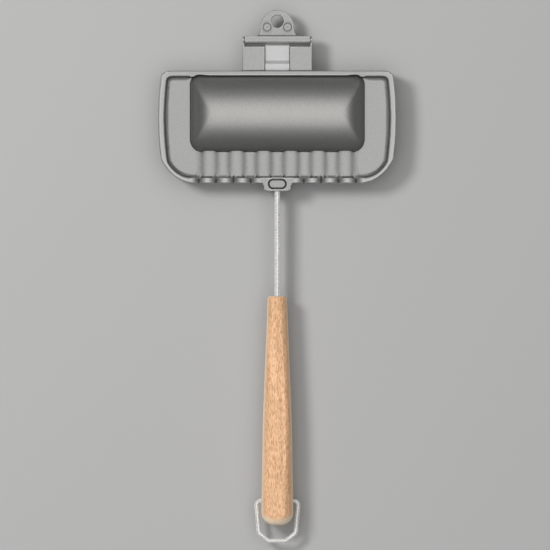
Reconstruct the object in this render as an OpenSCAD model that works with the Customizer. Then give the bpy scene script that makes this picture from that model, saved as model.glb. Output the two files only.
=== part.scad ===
// Stovetop sandwich maker: two cast pans joined by a pin at the far side,
// each with a steel rod and half of a wooden grip, held shut by a wire ring.
// X runs across the pan, Y runs from the grips to the hinge, Z runs up from
// the hob.  Z = 0 is the flat strip under the lower pan.  Millimetres.

/* [Pan] */
// overall width of each pan across its bowed sides
pan_width = 173.6; // [150:0.1:200]
// distance from the middle of the dome to the front edge of the pan
pan_front = 51; // [46:0.1:60]
// distance from the middle of the dome to the back edge of the pan
pan_back = 31; // [30.5:0.1:36]
// corner radius at the front of the pan
front_corner_r = 27.5; // [20:0.1:34]
// corner radius of the rim's inner edge at the front
front_inner_r = 21; // [14:0.1:26]
// corner radius at the back of the pan
back_corner_r = 8.2; // [6:0.1:14]
// corner radius of the rim's inner edge at the back
back_inner_r = 5.5; // [3:0.1:9]
// radius of the slow bow of each side
side_bow_r = 245; // [180:1:600]
// where along Y the bowed sides are widest
side_bow_y = -3.2; // [-10:0.1:5]
// width of the raised rim at the front and the sides
rim_width = 4.3; // [3.5:0.1:6]
// width of the raised rim at the back
rim_back_width = 4.4; // [3:0.1:6]
// height of the rim above the parting plane
rim_height = 7.5; // [6:0.1:10]
// height of the flat crimping band above the parting plane
band_height = 3.5; // [3:0.1:5]
// thickness of the crimping band
band_thickness = 2.3; // [1.8:0.1:2.6]
// gap kept between each rim and the parting plane
parting_gap = 0.15; // [0.05:0.05:0.3]

/* [Dome] */
// length of the dome at its foot, across the pan
dome_length = 126.4; // [110:0.1:140]
// width of the dome at its foot, along the handle direction
dome_width = 56.2; // [50:0.1:58]
// height of the dome above the parting plane
dome_height = 19; // [16:0.1:24]
// radius of the long flanks of the dome
dome_flank_r = 18; // [14:0.5:19]
// slope of the flanks at their foot, in degrees
dome_flank_slope = 69; // [60:1:78]
// radius of the two ends of the dome
dome_end_r = 16; // [15.6:0.1:20]
// corner radius of the dome at the front
dome_front_corner_r = 9.5; // [8:0.1:12]
// corner radius of the dome at the back
dome_back_corner_r = 7; // [5:0.1:9]
// wall thickness of the dome
dome_wall = 2.5; // [2:0.1:3.5]
// clear strip between the foot of the dome and the back rim
dome_ease = 0.3; // [0.1:0.1:0.6]
// how much is taken off the crest of the lower dome so that it stands
foot_cut = 0.6; // [0.2:0.1:1]

/* [Crimping ribs] */
// number of raised ribs along the front band
rib_count = 6; // [2:1:7]
// distance from rib to rib
rib_pitch = 19.8; // [17.5:0.1:20.2]
// width of a rib half way up its slopes
rib_width = 10.7; // [9:0.1:12]
// rise of a rib above the band
rib_rise = 2; // [1:0.1:2.5]
// slope of the rib sides, in degrees
rib_slope = 38; // [25:1:50]
// rise of the half-steep strips at the shoulder and the foot of a rib
rib_ease = 0.35; // [0.1:0.05:0.5]

/* [Rim notches] */
// notches in the front rim on each side of the boss
notch_count = 4; // [1:1:4]
// distance from the middle to the first notch
notch_first = 19.3; // [16:0.1:22]
// distance from notch to notch
notch_pitch = 12.67; // [9:0.01:12.8]
// radius of the notch cutter
notch_r = 3.6; // [3:0.1:5]
// depth of a notch
notch_depth = 1.7; // [0.5:0.1:2.5]

/* [Rod boss] */
// width of the boss that holds the rod
boss_width = 21.1; // [18:0.1:26]
// how far the boss stands out in front of the pan
boss_reach = 5.6; // [4:0.1:8]
// length of the oval groove on the boss
groove_length = 13.4; // [12:0.1:15]
// width of the oval groove on the boss
groove_width = 7.3; // [6.5:0.1:7.6]
// width of the cut line between the groove edge and the plug
groove_line = 0.95; // [0.6:0.05:1.2]
// depth of the oval groove
groove_depth = 1.1; // [0.5:0.1:1.5]
// distance from the front edge of the boss to the middle of the oval
groove_inset = 5.1; // [4.6:0.1:6]
// gap between the plug and its seat
plug_gap = 0.03; // [0.02:0.01:0.06]

/* [Rods] */
// diameter of the handle rods
rod_d = 4; // [3.5:0.1:4.4]
// height of each rod above the parting plane
rod_height = 3.85; // [3.6:0.05:4.2]
// gap between a rod and its bore
rod_gap = 0.02; // [0.01:0.01:0.05]
// depth of the rod in the boss
rod_in_boss = 8.8; // [7:0.1:9.2]
// depth of the rod in the grip
rod_in_grip = 45; // [30:1:80]
// height of the milled flat above the rod axis, where the plug bears
rod_flat = 1.1; // [0.8:0.1:1.5]

/* [Grips] */
// distance from the middle of the dome to the start of the grip
grip_start = 133.4; // [110:0.1:150]
// length of the grip
grip_length = 167.1; // [140:0.1:190]
// width of the grip at its neck
neck_width = 14; // [13:0.1:16]
// width of the grip a little past its middle
waist_width = 21.4; // [18:0.1:22]
// distance from the neck to the place where the waist width is reached
waist_at = 90.6; // [60:0.1:110]
// width of the grip near its end
tail_width = 23.4; // [22:0.1:25]
// height of the axis of the turned blank above the parting plane
grip_axis = 1.8; // [1:0.1:2.5]
// height of the planed outer face at the neck
neck_top = 8.4; // [7.5:0.1:9]
// height of the planed outer face at the end
tail_top = 12.2; // [11:0.1:13]
// rounding of the end of the grip
grip_end_r = 9.5; // [6:0.1:11]
// gap between the flat face of each grip and the parting plane
grip_gap = 0.2; // [0.1:0.05:0.5]

/* [Lock ring] */
// diameter of the ring wire
wire_d = 3.2; // [2.6:0.1:3.6]
// distance from the end of the grip to the ring pivot
pivot_inset = 17.6; // [14:0.1:22]
// depth of the ring pivot below the parting plane
pivot_depth = 4.6; // [4:0.1:5.2]
// half width of the ring at its pivot, to the middle of the wire
ring_top_half = 15.5; // [14.8:0.1:18]
// half width of the ring at its lower corners
ring_low_half = 13.5; // [13.3:0.1:16]
// half length of the straight end of the ring
ring_end_half = 6.2; // [4:0.1:9]
// distance from the pivot to the lower corners
ring_corner_reach = 23.4; // [18:0.1:26]
// distance from the pivot to the straight end
ring_reach = 29.2; // [27.8:0.1:34]
// depth of the wire ends in the grip
ring_end_depth = 5; // [3:0.1:6]
// radius of the bends, to the middle of the wire
wire_bend_r = 3.2; // [2.5:0.1:3.6]
// running gap round each wire end
ring_gap = 0.06; // [0.03:0.01:0.1]

/* [Hinge] */
// half width of both hinge leaves
leaf_half = 25.3; // [20:0.1:30]
// thickness of each hinge leaf above the parting plane
leaf_height = 4; // [3.6:0.1:4.6]
// distance from the middle of the dome to the hinge axis
hinge_y = 53.7; // [50:0.1:60]
// height of the hinge axis above the parting plane
hinge_z = 2.45; // [2.3:0.05:3]
// radius of the fillets where the leaves leave the pans
leaf_fillet_r = 2; // [1:0.1:3]
// radius of the barrel
barrel_r = 2.75; // [2.5:0.05:3]
// thickness of the two ears at the barrel ends
ear_thickness = 1.25; // [1:0.05:3]
// gap between the barrel and each ear
ear_gap = 0.2; // [0.1:0.05:0.4]
// gap between the upper leaf and the barrel
leaf_clearance = 2.05; // [1.6:0.05:2.4]
// radius of the hinge pin
pin_r = 1.4; // [1.2:0.05:1.6]
// running gap between the pin and the barrel
pin_run_gap = 0.05; // [0.03:0.01:0.1]
// gap between the pin and the ears that grip it
pin_seat_gap = 0.01; // [0.01:0.01:0.03]

/* [Detent spring] */
// width of the recess for the spring
recess_width = 18.2; // [14:0.1:24]
// gap at each side of the spring
spring_side_gap = 0.2; // [0.1:0.05:0.4]
// thickness of the spring
spring_thickness = 0.7; // [0.5:0.05:0.8]
// height of the recess floor above the parting plane
recess_floor = 1.1; // [1:0.05:1.3]
// step up from the recess floor to the seat of the spring foot
foot_step = 1; // [0.6:0.1:1.2]
// gap between the spring tip and the barrel
tip_gap = 0.06; // [0.03:0.01:0.1]

/* [Hanging eye] */
// radius of the eye
eye_r = 11.9; // [9:0.1:14]
// distance from the middle of the dome to the centre of the eye arc
eye_y = 63.7; // [62:0.1:68]
// radius of the hole
eye_hole_r = 4.6; // [3:0.1:6]
// distance from the centre of the eye arc to the hole centre
eye_hole_off = 3.6; // [0:0.1:5]
// how much wider than the arc the eye is at its foot, on each side
eye_flare = 3.3; // [1:0.1:4]
// height of that flare, from the hinge block to where the side runs straight
eye_flare_height = 7.4; // [5:0.1:8]
// radius of the two round ejector marks
mark_r = 3.15; // [2:0.05:3.2]
// width of the ring groove round each ejector mark
mark_line = 0.6; // [0.4:0.05:0.9]
// radius of the small dimple in the middle of each ejector mark
mark_dot_r = 0.5; // [0.3:0.05:0.8]
// depth of the ejector marks
mark_depth = 0.3; // [0.1:0.05:0.5]
// distance from the middle to each ejector mark
mark_x = 7.45; // [7:0.05:8.5]

/* [View] */
// which piece to draw

/* [Hidden] */
eye_flare_r = (eye_flare * eye_flare + eye_flare_height * eye_flare_height) / (2 * eye_flare);
$fn = 64;
e = 0.02;
cast_grey = [0.42, 0.42, 0.41];
bright_steel = [0.78, 0.78, 0.77];
beech = [0.80, 0.60, 0.40];
// height of the parting plane above the hob
zm = dome_height - foot_cut;
// half width of the pan and of its rim's inner edge
pan_half = pan_width / 2;
band_under = band_height - band_thickness;
// dome section: the crest arc is tangent to both flank arcs
dome_rise = dome_height - band_height;
flank_y = dome_width / 2 - dome_flank_r * sin(dome_flank_slope);
flank_z = -dome_flank_r * cos(dome_flank_slope);
crest_r = (flank_y * flank_y + pow(dome_rise - flank_z, 2) - dome_flank_r * dome_flank_r)
          / (2 * (dome_rise - flank_z - dome_flank_r));
crest_z = dome_rise - crest_r;
// ribs
rib_ease_slope = rib_slope / 2;
rib_run = (rib_rise / 2 - rib_ease) / tan(rib_slope) + rib_ease / tan(rib_ease_slope);
rib_top_half = rib_width / 2 - rib_run;
rib_foot_half = rib_width / 2 + rib_run;
rib_y0 = -pan_front + rim_width;
rib_y1 = -dome_width / 2 + 4;
// front details
boss_front = -(pan_front + boss_reach);
groove_y = boss_front + groove_inset;
plug_length = groove_length - 2 * groove_line;
plug_width = groove_width - 2 * groove_line;
plug_floor = rod_height + rod_flat;
rod_inner = boss_front + rod_in_boss;
// grip
grip_end = grip_start + grip_length;
pivot_y = -(grip_end - pivot_inset);
// hinge
barrel_half = leaf_half - ear_thickness - ear_gap;
leaf_end = hinge_y - barrel_r - leaf_clearance;
ear_r = hinge_z - parting_gap + e;
block_y = hinge_y + barrel_r;

// ---------------------------------------------------------------- outlines
// rectangle with its own radius at the front and at the back corners
module plate2d(half, front, back, rf, rb) {
  translate([-half, front + rf]) square([2 * half, back - rb - front - rf]);
  translate([-(half - rf), front]) square([2 * (half - rf), rf + 1]);
  translate([-(half - rb), back - rb - 1]) square([2 * (half - rb), rb + 1]);
  for (s = [-1, 1]) {
    translate([s * (half - rf), front + rf]) circle(r = rf);
    translate([s * (half - rb), back - rb]) circle(r = rb);
  }
}
// the bowed outline of the pan, drawn in by "inset"
module pan2d(inset, back_inset) {
  intersection() {
    plate2d(pan_half - inset, -pan_front + inset, pan_back - back_inset,
            inset > 0 ? front_inner_r : front_corner_r,
            inset > 0 ? back_inner_r : back_corner_r);
    translate([-(side_bow_r - pan_half), side_bow_y]) circle(r = side_bow_r - inset, $fn = 128);
    translate([side_bow_r - pan_half, side_bow_y]) circle(r = side_bow_r - inset, $fn = 128);
  }
}
module dome_plan2d(inset) {
  plate2d(dome_length / 2 - inset, -dome_width / 2 + inset, dome_width / 2 - inset,
          dome_front_corner_r - inset, dome_back_corner_r - inset);
}
module oval2d(length, width) {
  square([length - width, width], center = true);
  for (s = [-1, 1]) translate([s * (length - width) / 2, 0]) circle(r = width / 2);
}

// -------------------------------------------------------------------- dome
// Section across the dome: crest arc and two flank arcs, all tangent.
// "inset" moves the surface inwards; local Z = 0 is the band surface.
module dome_section2d(inset) {
  reach = 40;
  t = asin(flank_y / (crest_r - dome_flank_r));
  // inside the crest arc, between the two common normals
  intersection() {
    translate([0, crest_z]) circle(r = crest_r - inset, $fn = 96);
    polygon([[0, crest_z], [-reach * sin(t) * 2, crest_z + reach * cos(t) * 2],
             [reach * sin(t) * 2, crest_z + reach * cos(t) * 2]]);
  }
  for (s = [-1, 1]) translate([s * flank_y, flank_z]) circle(r = dome_flank_r - inset);
  polygon([[-flank_y, flank_z], [0, crest_z + e], [flank_y, flank_z],
           [flank_y, flank_z - 6], [-flank_y, flank_z - 6]]);
}
// Section along the dome: flat top and two rounded ends.
module dome_ends2d(inset) {
  ce = dome_length / 2 - sqrt(dome_end_r * dome_end_r - pow(dome_rise - dome_end_r, 2));
  translate([-ce, -12]) square([2 * ce, 12 + dome_rise - inset]);
  for (s = [-1, 1]) translate([s * ce, dome_rise - dome_end_r]) {
    circle(r = dome_end_r - inset);
    translate([s > 0 ? 0 : -(dome_end_r - inset), -12]) square([dome_end_r - inset, 12]);
  }
}
// the corner of the dome: all that lies outside the end profile when that is
// turned about the corner's upright axis
module dome_corner_cut(sx, front, r, inset) {
  cx = dome_length / 2 - r;
  cy = dome_width / 2 - r;
  translate([sx * cx, (front ? -1 : 1) * cy, 0]) difference() {
    translate([sx > 0 ? 0 : -30, front ? -30 : 0, -11]) cube([30, 30, 40]);
    rotate_extrude() intersection() {
      translate([-cx, 0]) dome_ends2d(inset);
      translate([0, -12]) square([r + 1, 40]);
    }
  }
}
// the dome as a solid; "inset" = 0 outside, = wall thickness inside
module dome_solid(inset, depth) {
  translate([0, 0, band_height]) difference() {
    intersection() {
      rotate([90, 0, 90]) translate([0, 0, -dome_length])
        linear_extrude(2 * dome_length) dome_section2d(inset);
      rotate([90, 0, 0]) translate([0, 0, -dome_width])
        linear_extrude(2 * dome_width) dome_ends2d(inset);
      // a little wider than the foot, so that it trims only below the band
      translate([0, 0, -depth]) linear_extrude(depth + dome_rise + 1) dome_plan2d(inset - 0.4);
    }
    for (sx = [-1, 1]) {
      dome_corner_cut(sx, true, dome_front_corner_r, inset);
      dome_corner_cut(sx, false, dome_back_corner_r, inset);
    }
  }
}

// -------------------------------------------------------------------- ribs
// one rib: flat top, steep sides, and a half-steep strip at shoulder and foot
module rib2d() {
  half = [[rib_foot_half + 1 / tan(rib_ease_slope), -1], [rib_foot_half, 0],
          [rib_foot_half - rib_ease / tan(rib_ease_slope), rib_ease],
          [rib_top_half + rib_ease / tan(rib_ease_slope), rib_rise - rib_ease],
          [rib_top_half, rib_rise]];
  polygon(concat(half, [for (i = [4 : -1 : 0]) [-half[i][0], half[i][1]]]));
}
// all the ribs as bars along Y with their foot at local Z = 0
module ribs(y0, y1) {
  for (i = [0 : rib_count - 1])
    translate([(i - (rib_count - 1) / 2) * rib_pitch, y1, 0])
      rotate([90, 0, 0]) linear_extrude(y1 - y0) rib2d();
}

// outline of a hinge leaf from inside the rim to "end", with a fillet at each
// side where it leaves the pan
module leaf2d(end) {
  r = leaf_fillet_r;
  translate([-leaf_half, pan_back - 2]) square([2 * leaf_half, end - pan_back + 2]);
  for (s = [-1, 1]) difference() {
    translate([s > 0 ? leaf_half - 1 : -leaf_half - 0.93 * r, pan_back - 1])
      square([1 + 0.93 * r, 1 + 0.93 * r]);
    translate([s * (leaf_half + r), pan_back + r]) circle(r = r);
  }
}

// ------------------------------------------------------- one half of the pan
// The parts of the casting that both halves share, crest upwards, with the
// parting plane at local Z = 0.
module shell_outside() {
  difference() {
    translate([0, 0, parting_gap]) linear_extrude(rim_height - parting_gap) pan2d(0, 0);
    translate([0, 0, band_height]) linear_extrude(rim_height) union() {
      pan2d(rim_width, rim_back_width);
      dome_plan2d(-dome_ease);
    }
  }
  dome_solid(0, 0.5);
  // boss for the rod
  translate([-boss_width / 2, boss_front, parting_gap])
    cube([boss_width, boss_reach + rim_width, rim_height - parting_gap]);
}
module shell_inside() {
  // shallow inside of the band
  translate([0, 0, -5]) linear_extrude(5 + band_under) pan2d(rim_width, rim_back_width);
  // the pocket
  dome_solid(dome_wall, band_height + 5);
}
// seats cut into the boss and notches cut into the front rim
module front_cuts() {
  translate([0, boss_front - 1, rod_height]) rotate([-90, 0, 0])
    cylinder(h = rod_in_boss + 1 + 0.1, r = rod_d / 2 + rod_gap);
  translate([0, groove_y, rim_height - groove_depth])
    linear_extrude(groove_depth + 1) oval2d(groove_length, groove_width);
  translate([0, groove_y, plug_floor])
    linear_extrude(rim_height - plug_floor) oval2d(plug_length + 2 * plug_gap, plug_width + 2 * plug_gap);
  for (s = [-1, 1], i = [0 : notch_count - 1])
    translate([s * (notch_first + i * notch_pitch), -pan_front - 1,
               rim_height + notch_r - notch_depth])
      rotate([-90, 0, 0]) cylinder(h = rim_width + 1 + e, r = notch_r);
}
module upper_plate() {
  color(cast_grey) translate([0, 0, zm]) difference() {
    union() {
      difference() {
        union() {
          shell_outside();
          translate([0, 0, band_height]) ribs(rib_y0 - e, rib_y1);
        }
        shell_inside();
        translate([0, 0, band_under]) ribs(rib_y0, rib_y1);
      }
      // hinge leaf with two ears
      translate([0, 0, parting_gap]) linear_extrude(leaf_height - parting_gap) leaf2d(leaf_end);
      for (s = [-1, 1]) translate([s > 0 ? leaf_half - ear_thickness : -leaf_half, 0, 0]) {
        translate([0, leaf_end - 1, parting_gap])
          cube([ear_thickness, hinge_y - leaf_end + 1, leaf_height - parting_gap]);
        translate([0, hinge_y, hinge_z]) rotate([0, 90, 0])
          cylinder(h = ear_thickness, r = ear_r);
      }
    }
    front_cuts();
    // recess for the spring, with a raised seat for its foot
    translate([-recess_width / 2, 0, 0]) rotate([90, 0, 90]) linear_extrude(recess_width)
      polygon([[pan_back + 0.4, leaf_height + 6], [pan_back + 0.4, recess_floor + foot_step],
               [pan_back + 4.9, recess_floor + foot_step], [pan_back + 7.3, recess_floor],
               [leaf_end + 1, recess_floor], [leaf_end + 1, leaf_height + 6]]);
    // slot in the rim wall for the end of the foot
    translate([-recess_width / 2, pan_back - 1.5, recess_floor + foot_step])
      cube([recess_width, 2, spring_thickness + 0.06]);
    translate([-leaf_half - 1, hinge_y, hinge_z]) rotate([0, 90, 0])
      cylinder(h = 2 * leaf_half + 2, r = pin_r + pin_seat_gap);
  }
}

module lower_plate() {
  color(cast_grey) translate([0, 0, zm]) difference() {
    union() {
      difference() {
        union() {
          difference() {
            mirror([0, 0, 1]) shell_outside();
            mirror([0, 0, 1]) shell_inside();
          }
          // the ribs rise into the upper half
          translate([0, 0, -band_under]) ribs(rib_y0 + 0.3, rib_y1);
        }
        translate([0, 0, -band_height]) ribs(rib_y0, rib_y1 - 3);
        // the pocket again, so that the ribs stop at its edge
        mirror([0, 0, 1]) dome_solid(dome_wall, band_height + 5);
        // flat strip on the crest
        translate([-pan_half, -30, -zm - 5]) cube([pan_width, 60, 5]);
      }
      // back leaf
      translate([0, 0, -leaf_height]) linear_extrude(leaf_height - parting_gap) leaf2d(block_y);
      // barrel with its block behind it
      translate([-barrel_half, hinge_y, hinge_z]) rotate([0, 90, 0])
        cylinder(h = 2 * barrel_half, r = barrel_r);
      translate([-barrel_half, hinge_y, -1])
        cube([2 * barrel_half, barrel_r, hinge_z + barrel_r + 1]);
      // hanging eye
      translate([0, eye_y, -leaf_height]) linear_extrude(leaf_height - parting_gap) union() {
        circle(r = eye_r);
        translate([-eye_r, block_y - 1 - eye_y]) square([2 * eye_r, eye_y - block_y + 1]);
        for (s = [-1, 1]) difference() {
          translate([s > 0 ? eye_r - 1 : -eye_r - eye_flare, block_y - 0.5 - eye_y])
            square([1 + eye_flare, 0.95 * eye_flare_height]);
          translate([s * (eye_r + eye_flare_r), block_y - 0.5 - eye_y + eye_flare_height])
            circle(r = eye_flare_r);
        }
      }
    }
    mirror([0, 0, 1]) front_cuts();
    translate([-barrel_half - 1, hinge_y, hinge_z]) rotate([0, 90, 0])
      cylinder(h = 2 * barrel_half + 2, r = pin_r + pin_run_gap);
    translate([0, eye_y + eye_hole_off, -leaf_height - 1]) cylinder(h = leaf_height + 2, r = eye_hole_r);
    for (s = [-1, 1]) translate([s * mark_x, eye_y - 0.6, -parting_gap - mark_depth]) {
      difference() {
        cylinder(h = 2, r = mark_r);
        translate([0, 0, -1]) cylinder(h = 4, r = mark_r - mark_line);
      }
      cylinder(h = 2, r = mark_dot_r);
    }
  }
}

module hinge_pin() {
  color(bright_steel) translate([-leaf_half, hinge_y, zm + hinge_z]) rotate([0, 90, 0])
    cylinder(h = 2 * leaf_half, r = pin_r);
}

// bent strip: foot, small step down, long flat, then a slope down to the tip,
// whose upper corner stops just short of the barrel
module detent_spring() {
  t = spring_thickness;
  foot = recess_floor + foot_step + 0.02;
  main = recess_floor + 0.02;
  tip = parting_gap + 0.05;
  tip_y = hinge_y - sqrt(pow(barrel_r + tip_gap, 2) - pow(hinge_z - tip - t, 2));
  w = recess_width - 2 * spring_side_gap;
  color(bright_steel) translate([-w / 2, 0, zm]) rotate([90, 0, 90]) linear_extrude(w)
    polygon([[pan_back - 1.4, foot], [pan_back + 5, foot], [pan_back + 7.4, main],
             [leaf_end + 0.1, main], [tip_y, tip], [tip_y, tip + t],
             [leaf_end + 0.4, main + t], [pan_back + 7.6, main + t],
             [pan_back + 5.2, foot + t], [pan_back - 1.4, foot + t]]);
}

// ------------------------------------------------------------ rods and plugs
module rod_up() {
  difference() {
    translate([0, rod_inner, rod_height]) rotate([90, 0, 0])
      cylinder(h = grip_start + rod_in_grip + rod_inner, r = rod_d / 2);
    // flat under the plug
    translate([-rod_d, groove_y - plug_width / 2 - 0.1, plug_floor - 0.02])
      cube([2 * rod_d, 20, rod_d]);
  }
}
module upper_rod() { color(bright_steel) translate([0, 0, zm]) rod_up(); }
module lower_rod() { color(bright_steel) translate([0, 0, zm]) mirror([0, 0, 1]) rod_up(); }
module plug_up() {
  translate([0, groove_y, plug_floor + 0.01])
    linear_extrude(rim_height - plug_floor - 0.01) oval2d(plug_length, plug_width);
}
module upper_plug() { color(cast_grey) translate([0, 0, zm]) plug_up(); }
module lower_plug() { color(cast_grey) translate([0, 0, zm]) mirror([0, 0, 1]) plug_up(); }

// ------------------------------------------------------------------- grips
// height of the outer face of the grip above the parting plane
function grip_top(y) = neck_top + (tail_top - neck_top) * (-y - grip_start) / grip_length;
// half outline of the turned blank: X is its radius, Y runs to its end
module blank2d() {
  polygon([[0, 0], [neck_width / 2, 0], [waist_width / 2, waist_at],
           [tail_width / 2, grip_length - grip_end_r], [0, grip_length - grip_end_r]]);
  translate([0, grip_length - grip_end_r - 1]) square([tail_width / 2 - grip_end_r, grip_end_r + 1]);
  intersection() {
    translate([tail_width / 2 - grip_end_r, grip_length - grip_end_r]) circle(r = grip_end_r);
    translate([0, grip_length - grip_end_r]) square([tail_width, grip_end_r + 1]);
  }
}
module grip_up() {
  difference() {
    intersection() {
      // the turned blank
      translate([0, -grip_start, grip_axis]) rotate([90, 0, 0])
        rotate_extrude($fn = 96) blank2d();
      // sawn flat below, planed flat above
      rotate([90, 0, 90]) translate([0, 0, -20]) linear_extrude(40)
        polygon([[5 - grip_start, grip_gap], [5 - grip_start, grip_top(5 - grip_start)],
                 [-grip_end - 5, grip_top(-grip_end - 5)], [-grip_end - 5, grip_gap]]);
    }
    // blind bore for the rod
    translate([0, -grip_start + 1, rod_height]) rotate([90, 0, 0])
      cylinder(h = rod_in_grip + 1.2, r = rod_d / 2 + rod_gap);
  }
}
module upper_grip() { color(beech) translate([0, 0, zm]) grip_up(); }
module lower_grip() {
  color(beech) translate([0, 0, zm]) difference() {
    mirror([0, 0, 1]) grip_up();
    for (s = [-1, 1]) translate([s * (tail_width / 2 - ring_end_depth - 0.2), pivot_y, -pivot_depth])
      rotate([0, s * 90, 0]) cylinder(h = 12, r = wire_d / 2 + ring_gap);
  }
}

// --------------------------------------------------------------- lock ring
// straight wire from p to q, both in the plane Z = 0, run a little way into
// the bends at its ends
module wire(p, q, at_p, at_q) {
  v = (q - p) / norm(q - p);
  a = p - v * at_p;
  b = q + v * at_q;
  translate([a[0], a[1], 0]) rotate([0, 90, atan2(v[1], v[0])]) cylinder(h = norm(b - a), r = wire_d / 2);
}
// round bend of the wire at corner b between a and c
module bend(a, b, c) {
  u = (b - a) / norm(b - a);
  w = (c - b) / norm(c - b);
  turn = atan2(u[0] * w[1] - u[1] * w[0], u * w);
  cut = wire_bend_r * tan(abs(turn) / 2);
  side = turn > 0 ? 1 : -1;
  centre = b - u * cut + side * wire_bend_r * [-u[1], u[0]];
  translate([centre[0], centre[1], 0])
    rotate([0, 0, atan2(u[1], u[0]) - side * 90 + (turn > 0 ? 0 : turn)])
      rotate_extrude(angle = abs(turn)) translate([wire_bend_r, 0]) circle(r = wire_d / 2 + 0.02);
}
function bend_cut(a, b, c) = wire_bend_r * tan(acos(((b - a) * (c - b)) / norm(b - a) / norm(c - b)) / 2);
module lock_ring() {
  half = [[tail_width / 2 - ring_end_depth, 0], [ring_top_half, 0],
          [ring_low_half, -ring_corner_reach], [ring_end_half, -ring_reach]];
  path = concat(half, [for (i = [3 : -1 : 0]) [-half[i][0], half[i][1]]]);
  last = len(path) - 1;
  color(bright_steel) translate([0, pivot_y, zm - pivot_depth]) {
    for (i = [1 : last - 1]) bend(path[i - 1], path[i], path[i + 1]);
    for (i = [0 : last - 1]) {
      d = (path[i + 1] - path[i]) / norm(path[i + 1] - path[i]);
      p = i == 0 ? path[0] : path[i] + d * bend_cut(path[i - 1], path[i], path[i + 1]);
      q = i == last - 1 ? path[last] : path[i + 1] - d * bend_cut(path[i], path[i + 1], path[i + 2]);
      wire(p, q, i == 0 ? 0 : 0.3, i == last - 1 ? 0 : 0.3);
    }
  }
}

lower_plate();
upper_plate();
hinge_pin();
detent_spring();
lower_rod();
upper_rod();
lower_plug();
upper_plug();
lower_grip();
upper_grip();
lock_ring();
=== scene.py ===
# %% [markdown]
# # A stovetop sandwich maker, dressed for its picture
# Two cast pans close on a slice of bread like a book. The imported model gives
# every piece its true size, place and motion. This lesson adds what the eye
# looks for: soft cast edges, a satin coating, drawn steel and beech wood.

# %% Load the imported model
import math

import bmesh
import bpy
import numpy as np
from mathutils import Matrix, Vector


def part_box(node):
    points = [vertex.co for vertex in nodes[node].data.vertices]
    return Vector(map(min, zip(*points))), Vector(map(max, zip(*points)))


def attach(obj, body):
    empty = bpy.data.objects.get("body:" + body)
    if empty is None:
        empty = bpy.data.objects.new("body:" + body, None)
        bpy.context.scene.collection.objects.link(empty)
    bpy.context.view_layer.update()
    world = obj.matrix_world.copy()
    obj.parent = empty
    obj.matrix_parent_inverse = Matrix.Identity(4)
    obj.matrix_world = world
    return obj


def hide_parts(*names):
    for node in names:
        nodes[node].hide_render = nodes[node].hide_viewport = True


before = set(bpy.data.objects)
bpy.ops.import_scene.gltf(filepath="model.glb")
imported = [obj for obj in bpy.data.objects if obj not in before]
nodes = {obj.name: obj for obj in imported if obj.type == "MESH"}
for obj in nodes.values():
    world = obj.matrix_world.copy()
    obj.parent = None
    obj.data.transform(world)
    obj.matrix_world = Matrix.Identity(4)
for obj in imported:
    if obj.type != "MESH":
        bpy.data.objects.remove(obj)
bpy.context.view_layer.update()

MM = 0.001
PARTING = 18.4          # height of the plane between the two halves, in mm
print("nodes:", sorted(nodes))


# %% [markdown]
# ## The camera
# The photograph looks straight down on the closed maker, so the camera looks
# straight down too. A long lens far away keeps the outline as flat as it is
# there. One pixel of the 550-pixel picture is 0.73 mm at the parting plane.

# %% Camera
PICTURE, PIXEL = 550, 0.73
ORIGIN_AT = (277.3, 113.5)      # the pixel that lies over the part's origin
DISTANCE = 6000.0
SENSOR_WIDTH = 36.0

camera_data = bpy.data.cameras.new("photo_camera")
camera_data.sensor_width = SENSOR_WIDTH
camera_data.lens = SENSOR_WIDTH * DISTANCE / (PICTURE * PIXEL)
camera_data.clip_end = 20
camera = bpy.data.objects.new("photo_camera", camera_data)
bpy.context.scene.collection.objects.link(camera)
camera.location = ((PICTURE / 2 - ORIGIN_AT[0]) * PIXEL * MM,
                   (ORIGIN_AT[1] - PICTURE / 2) * PIXEL * MM, (PARTING + DISTANCE) * MM)
camera.rotation_euler = (0, 0, 0)
bpy.context.scene.camera = camera
print("lens:", round(camera_data.lens, 1), "mm")


# %% [markdown]
# ## Helpers for the workshop
# Operators act on whatever is selected, and loading leaves every node
# selected. So each step first clears the selection and then picks one piece.

# %% Pick one piece, and finish a modifier on it
def pick(piece):
    bpy.ops.object.select_all(action="DESELECT")
    piece.select_set(True)
    bpy.context.view_layer.objects.active = piece


def finish_modifier(piece, kind, **settings):
    pick(piece)
    modifier = piece.modifiers.new(kind.lower(), kind)
    for name, value in settings.items():
        setattr(modifier, name, value)
    bpy.ops.object.modifier_apply(modifier=modifier.name)


def settle(piece, angle):
    """Places the piece in its mesh and shades it smooth up to a crease angle."""
    pick(piece)
    bpy.ops.object.transform_apply(location=True, rotation=True, scale=True)
    bpy.ops.object.shade_smooth_by_angle(angle=math.radians(angle))
    print(piece.name, len(piece.data.polygons), "faces")


# %% [markdown]
# A CAD node arrives as loose triangles. A copy of it can be worked on once
# its doubled corners are merged, and the node itself stays as it is.

# %% Copy a node as a closed mesh
def copy_of(node, name):
    piece = bpy.data.objects.new(name, nodes[node].data.copy())
    piece.data.materials.clear()
    bpy.context.scene.collection.objects.link(piece)
    pick(piece)
    bpy.ops.object.mode_set(mode="EDIT")
    bpy.ops.mesh.select_all(action="SELECT")
    bpy.ops.mesh.remove_doubles(threshold=1e-6)
    bpy.ops.object.mode_set(mode="OBJECT")
    return piece


# %% [markdown]
# A pan has several hundred thousand points. They are read and written in one
# go, as an array in mm, because a loop over them would take minutes.

# %% Read and write a piece's points
def read_points(piece, label):
    flat = np.empty(len(piece.data.vertices) * 3, np.float32)
    piece.data.vertices.foreach_get(label, flat)
    return flat.reshape(-1, 3).astype(float)


def corners_of(piece):
    """The piece's points as rows of x, y, z in mm."""
    return read_points(piece, "co") / MM


def facing_of(piece):
    """The directions that the piece's points face."""
    return read_points(piece, "normal")


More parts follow.
